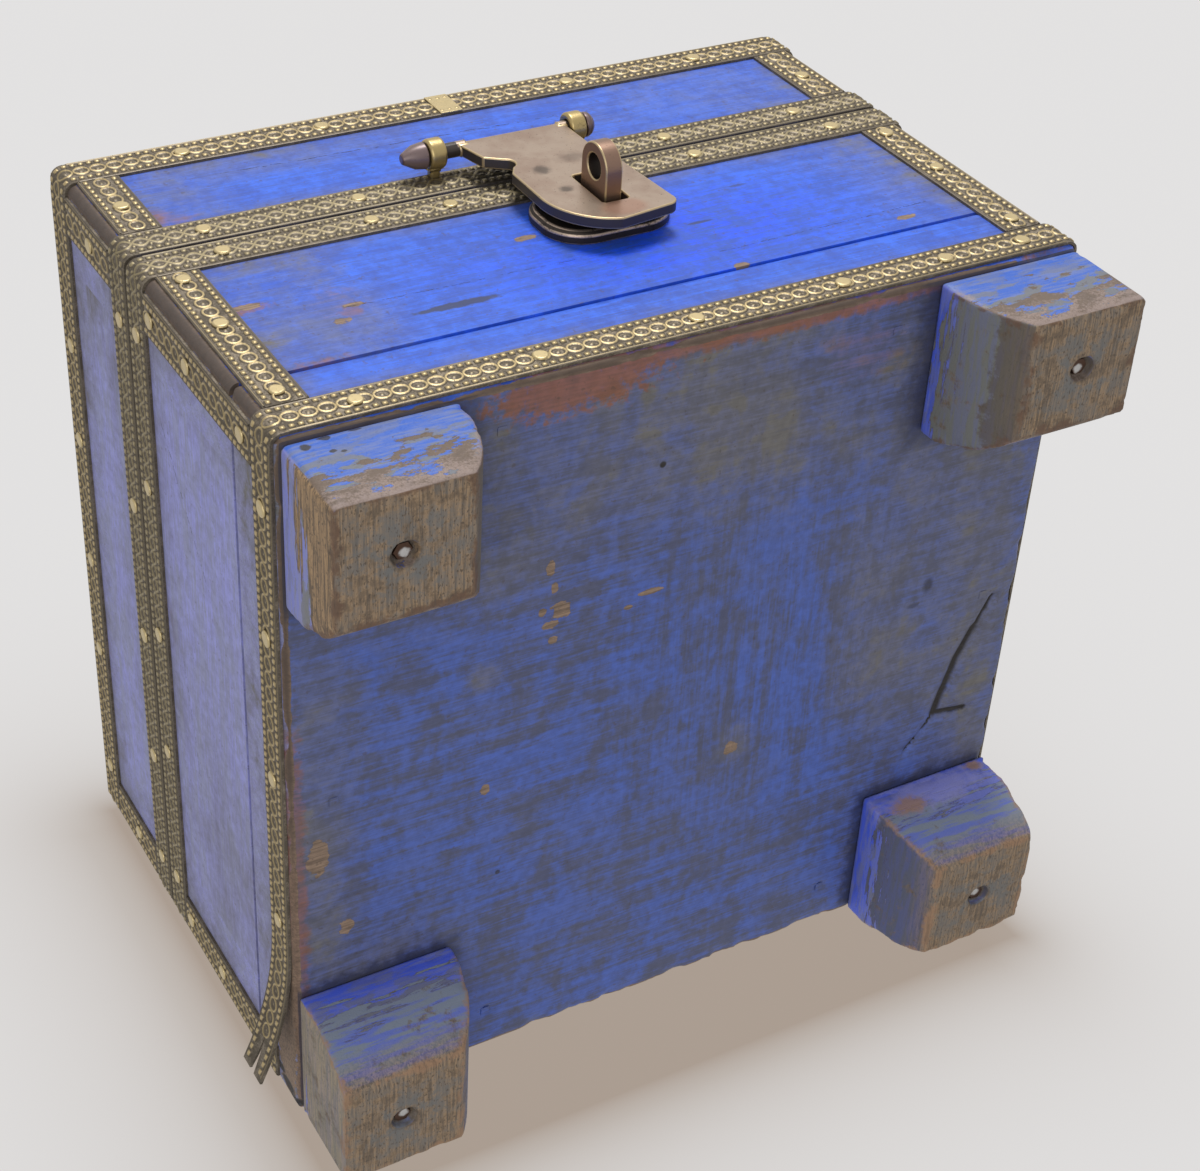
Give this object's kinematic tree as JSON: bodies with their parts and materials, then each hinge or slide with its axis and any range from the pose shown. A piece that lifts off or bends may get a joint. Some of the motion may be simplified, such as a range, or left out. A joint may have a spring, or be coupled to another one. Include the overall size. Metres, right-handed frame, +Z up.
{
  "type": "wooden storage box",
  "caption": "Small painted wooden box with a hinged lid, block feet, embossed brass strips and a bronze hasp over a pierced staple.",
  "frame": {"origin": "on the ground under the middle of the box, between the four soles", "axes": "+Z up, the front with the hasp towards -Y, +X to the right seen from the front"},
  "size_m": [0.1938, 0.1995, 0.1438],
  "materials": {
    "blue_painted_wood": "worn bright blue paint over wood",
    "faded_painted_wood": "faded lavender blue paint over wood",
    "dull_painted_wood": "dull blue paint with grime over wood",
    "worn_foot_wood": "bare brown wood with flaking blue paint",
    "embossed_brass": "embossed sheet brass with dark ground",
    "plain_brass": "worn plain brass",
    "bronze": "satin brown bronze with worn edges",
    "steel_nail": "dull steel",
    "iron_brad": "dark iron"
  },
  "bodies": {
    "body": {"back_board": "blue_painted_wood", "body_bottom_belt": "embossed_brass", "body_hinge_nails": "plain_brass", "body_strip_front_left": "embossed_brass", "body_strip_front_right": "embossed_brass", "body_strip_left_back": "embossed_brass", "body_strip_left_front": "embossed_brass", "body_strip_nails": "plain_brass", "body_strip_right_back": "embossed_brass", "body_strip_right_front": "embossed_brass", "body_top_belt": "embossed_brass", "bottom_board": "dull_painted_wood", "carcass_brads": "iron_brad", "foot_back_left": "worn_foot_wood", "foot_back_right": "worn_foot_wood", "foot_front_left": "worn_foot_wood", "foot_front_right": "worn_foot_wood", "foot_nails": "steel_nail", "front_board": "blue_painted_wood", "left_hinge_body_leaf": "plain_brass", "left_hinge_pin": "plain_brass", "left_side_board": "faded_painted_wood", "right_hinge_body_leaf": "plain_brass", "right_hinge_pin": "plain_brass", "right_side_board": "faded_painted_wood", "staple": "bronze", "staple_base": "bronze", "staple_nails": "plain_brass"},
    "lid": {"hasp_eye_left": "plain_brass", "hasp_eye_right": "plain_brass", "left_hinge_lid_leaf": "plain_brass", "lid_back_rail": "blue_painted_wood", "lid_belt_clip": "plain_brass", "lid_bottom_belt": "embossed_brass", "lid_brads": "iron_brad", "lid_front_rail": "blue_painted_wood", "lid_hinge_nails": "plain_brass", "lid_left_rail": "blue_painted_wood", "lid_right_rail": "blue_painted_wood", "lid_strip_front_left": "embossed_brass", "lid_strip_front_right": "embossed_brass", "lid_strip_left_back": "embossed_brass", "lid_strip_left_front": "embossed_brass", "lid_strip_nails": "plain_brass", "lid_strip_right_back": "embossed_brass", "lid_strip_right_front": "embossed_brass", "lid_top_belt": "embossed_brass", "lid_top_board": "blue_painted_wood", "right_hinge_lid_leaf": "plain_brass"},
    "hasp": {"hasp_plate": "bronze"}
  },
  "joints": [
    {"name": "lid_hinge", "type": "hinge", "parent": "body", "child": "lid", "pos_m": [0, 0.0912, 0.09795], "axis": [-1, 0, 0], "range_deg": [0, 180]},
    {"name": "hasp_hinge", "type": "hinge", "parent": "lid", "child": "hasp", "pos_m": [0, -0.0943, 0.1068], "axis": [-1, 0, 0], "range_deg": [0, 175]}
  ]
}
